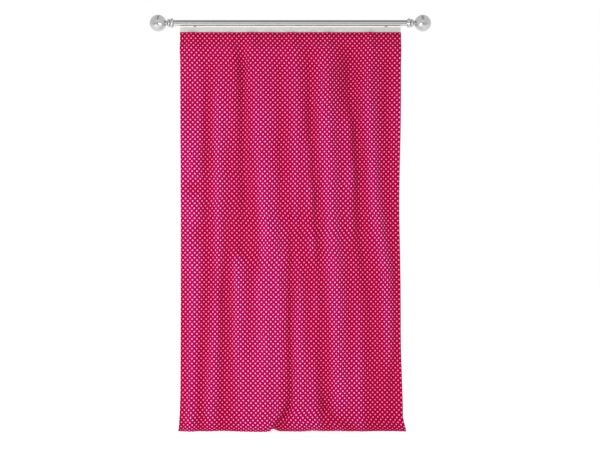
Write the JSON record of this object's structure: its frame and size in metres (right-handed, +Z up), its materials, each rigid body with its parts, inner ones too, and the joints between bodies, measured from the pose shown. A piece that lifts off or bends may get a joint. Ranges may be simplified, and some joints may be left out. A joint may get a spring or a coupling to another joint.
{
  "type": "curtain panel",
  "caption": "Floor-length polka-dot fabric curtain panel that hangs on gliders in a slim rail under a wall-mounted pole with ball finials.",
  "frame": {"origin": "on the wall plane, midway between the two brackets, at the height of the pole's axis", "axes": "+Z up, +X along the pole (to the right as seen from the room), +Y into the wall, so the curtain faces -Y"},
  "size_m": [1.641, 0.1854, 2.4177],
  "materials": {
    "satin_nickel": "satin nickel plate",
    "bracket_white": "white powder coat",
    "fixing_steel": "satin zinc plate",
    "rail_grey": "pale warm grey powder coat",
    "white_nylon": "moulded",
    "printed_cotton": "raspberry cotton printed with white dots",
    "tape_white": "woven heading tape"
  },
  "bodies": {
    "mounting": {"pole_tube": "satin_nickel", "finial_ball_left": "satin_nickel", "finial_ball_right": "satin_nickel", "finial_neck_left": "satin_nickel", "finial_neck_right": "satin_nickel", "finial_spigot_left": "fixing_steel", "finial_spigot_right": "fixing_steel", "finial_stud_left": "fixing_steel", "finial_stud_right": "fixing_steel", "finial_set_screw_left": "fixing_steel", "finial_set_screw_right": "fixing_steel", "glider_rail": "rail_grey", "rail_end_cap_left": "white_nylon", "rail_end_cap_right": "white_nylon", "wall_plate_left": "bracket_white", "wall_plate_right": "bracket_white", "bracket_arm_left": "bracket_white", "bracket_arm_right": "bracket_white", "pole_saddle_left": "bracket_white", "pole_saddle_right": "bracket_white", "pole_bolt_left": "fixing_steel", "pole_bolt_right": "fixing_steel", "rail_clip_left": "white_nylon", "rail_clip_right": "white_nylon", "rail_bolt_left": "fixing_steel", "rail_bolt_right": "fixing_steel", "end_stop": "white_nylon", "end_stop_screw": "fixing_steel"},
    "runner_01": {"glider_01": "white_nylon"},
    "runner_02": {"glider_02": "white_nylon"},
    "runner_03": {"glider_03": "white_nylon"},
    "runner_04": {"glider_04": "white_nylon"},
    "runner_05": {"glider_05": "white_nylon"},
    "runner_06": {"glider_06": "white_nylon"},
    "runner_07": {"glider_07": "white_nylon"},
    "runner_08": {"glider_08": "white_nylon"},
    "runner_09": {"glider_09": "white_nylon"},
    "runner_10": {"glider_10": "white_nylon"},
    "runner_11": {"glider_11": "white_nylon"},
    "hanger_00": {"curtain_hook_00": "white_nylon"},
    "hanger_01": {"curtain_hook_01": "white_nylon"},
    "hanger_02": {"curtain_hook_02": "white_nylon"},
    "hanger_03": {"curtain_hook_03": "white_nylon"},
    "hanger_04": {"curtain_hook_04": "white_nylon"},
    "hanger_05": {"curtain_hook_05": "white_nylon"},
    "hanger_06": {"curtain_hook_06": "white_nylon"},
    "hanger_07": {"curtain_hook_07": "white_nylon"},
    "hanger_08": {"curtain_hook_08": "white_nylon"},
    "hanger_09": {"curtain_hook_09": "white_nylon"},
    "hanger_10": {"curtain_hook_10": "white_nylon"},
    "hanger_11": {"curtain_hook_11": "white_nylon"},
    "panel": {"curtain_cloth": "printed_cotton", "heading_tape": "tape_white", "side_hem_left": "printed_cotton", "side_hem_right": "printed_cotton", "bottom_hem": "printed_cotton"}
  },
  "joints": [
    {"name": "curtain_draw", "type": "slide", "parent": "mounting", "child": "runner_11", "axis": [-1, 0, 0], "range_m": [0, 0.935], "deforming": ["curtain_cloth", "heading_tape", "side_hem_left", "side_hem_right", "bottom_hem"]},
    {"name": "glide_01", "type": "slide", "parent": "mounting", "child": "runner_01", "axis": [-1, 0, 0], "range_m": [0, 0.085]},
    {"name": "glide_02", "type": "slide", "parent": "mounting", "child": "runner_02", "axis": [-1, 0, 0], "range_m": [0, 0.17]},
    {"name": "glide_03", "type": "slide", "parent": "mounting", "child": "runner_03", "axis": [-1, 0, 0], "range_m": [0, 0.255]},
    {"name": "glide_04", "type": "slide", "parent": "mounting", "child": "runner_04", "axis": [-1, 0, 0], "range_m": [0, 0.34]},
    {"name": "glide_05", "type": "slide", "parent": "mounting", "child": "runner_05", "axis": [-1, 0, 0], "range_m": [0, 0.425]},
    {"name": "glide_06", "type": "slide", "parent": "mounting", "child": "runner_06", "axis": [-1, 0, 0], "range_m": [0, 0.51]},
    {"name": "glide_07", "type": "slide", "parent": "mounting", "child": "runner_07", "axis": [-1, 0, 0], "range_m": [0, 0.595]},
    {"name": "glide_08", "type": "slide", "parent": "mounting", "child": "runner_08", "axis": [-1, 0, 0], "range_m": [0, 0.68]},
    {"name": "glide_09", "type": "slide", "parent": "mounting", "child": "runner_09", "axis": [-1, 0, 0], "range_m": [0, 0.765]},
    {"name": "glide_10", "type": "slide", "parent": "mounting", "child": "runner_10", "axis": [-1, 0, 0], "range_m": [0, 0.85]},
    {"name": "panel_sway", "type": "hinge", "parent": "mounting", "child": "panel", "pos_m": [0, -0.0865, -0.0615], "axis": [-1, 0, 0], "range_deg": [0, 12]},
    {"name": "hook_swing_00", "type": "hinge", "parent": "mounting", "child": "hanger_00", "pos_m": [-0.63, -0.0865, -0.0615], "axis": [-1, 0, 0], "range_deg": [0, 12]},
    {"name": "hook_swing_01", "type": "hinge", "parent": "runner_01", "child": "hanger_01", "pos_m": [-0.51545, -0.0865, -0.0615], "axis": [-1, 0, 0], "range_deg": [0, 12]},
    {"name": "hook_swing_02", "type": "hinge", "parent": "runner_02", "child": "hanger_02", "pos_m": [-0.40091, -0.0865, -0.0615], "axis": [-1, 0, 0], "range_deg": [0, 12]},
    {"name": "hook_swing_03", "type": "hinge", "parent": "runner_03", "child": "hanger_03", "pos_m": [-0.28636, -0.0865, -0.0615], "axis": [-1, 0, 0], "range_deg": [0, 12]},
    {"name": "hook_swing_04", "type": "hinge", "parent": "runner_04", "child": "hanger_04", "pos_m": [-0.17182, -0.0865, -0.0615], "axis": [-1, 0, 0], "range_deg": [0, 12]},
    {"name": "hook_swing_05", "type": "hinge", "parent": "runner_05", "child": "hanger_05", "pos_m": [-0.05727, -0.0865, -0.0615], "axis": [-1, 0, 0], "range_deg": [0, 12]},
    {"name": "hook_swing_06", "type": "hinge", "parent": "runner_06", "child": "hanger_06", "pos_m": [0.05727, -0.0865, -0.0615], "axis": [-1, 0, 0], "range_deg": [0, 12]},
    {"name": "hook_swing_07", "type": "hinge", "parent": "runner_07", "child": "hanger_07", "pos_m": [0.17182, -0.0865, -0.0615], "axis": [-1, 0, 0], "range_deg": [0, 12]},
    {"name": "hook_swing_08", "type": "hinge", "parent": "runner_08", "child": "hanger_08", "pos_m": [0.28636, -0.0865, -0.0615], "axis": [-1, 0, 0], "range_deg": [0, 12]},
    {"name": "hook_swing_09", "type": "hinge", "parent": "runner_09", "child": "hanger_09", "pos_m": [0.40091, -0.0865, -0.0615], "axis": [-1, 0, 0], "range_deg": [0, 12]},
    {"name": "hook_swing_10", "type": "hinge", "parent": "runner_10", "child": "hanger_10", "pos_m": [0.51545, -0.0865, -0.0615], "axis": [-1, 0, 0], "range_deg": [0, 12]},
    {"name": "hook_swing_11", "type": "hinge", "parent": "runner_11", "child": "hanger_11", "pos_m": [0.63, -0.0865, -0.0615], "axis": [-1, 0, 0], "range_deg": [0, 12]}
  ],
  "couplings": [
    {"joint": "glide_01", "follows": "curtain_draw", "ratio": 0.090909},
    {"joint": "glide_02", "follows": "curtain_draw", "ratio": 0.18182},
    {"joint": "glide_03", "follows": "curtain_draw", "ratio": 0.27273},
    {"joint": "glide_04", "follows": "curtain_draw", "ratio": 0.36364},
    {"joint": "glide_05", "follows": "curtain_draw", "ratio": 0.45455},
    {"joint": "glide_06", "follows": "curtain_draw", "ratio": 0.54545},
    {"joint": "glide_07", "follows": "curtain_draw", "ratio": 0.63636},
    {"joint": "glide_08", "follows": "curtain_draw", "ratio": 0.72727},
    {"joint": "glide_09", "follows": "curtain_draw", "ratio": 0.81818},
    {"joint": "glide_10", "follows": "curtain_draw", "ratio": 0.90909},
    {"joint": "hook_swing_00", "follows": "panel_sway", "ratio": 1},
    {"joint": "hook_swing_01", "follows": "panel_sway", "ratio": 1},
    {"joint": "hook_swing_02", "follows": "panel_sway", "ratio": 1},
    {"joint": "hook_swing_03", "follows": "panel_sway", "ratio": 1},
    {"joint": "hook_swing_04", "follows": "panel_sway", "ratio": 1},
    {"joint": "hook_swing_05", "follows": "panel_sway", "ratio": 1},
    {"joint": "hook_swing_06", "follows": "panel_sway", "ratio": 1},
    {"joint": "hook_swing_07", "follows": "panel_sway", "ratio": 1},
    {"joint": "hook_swing_08", "follows": "panel_sway", "ratio": 1},
    {"joint": "hook_swing_09", "follows": "panel_sway", "ratio": 1},
    {"joint": "hook_swing_10", "follows": "panel_sway", "ratio": 1},
    {"joint": "hook_swing_11", "follows": "panel_sway", "ratio": 1}
  ]
}
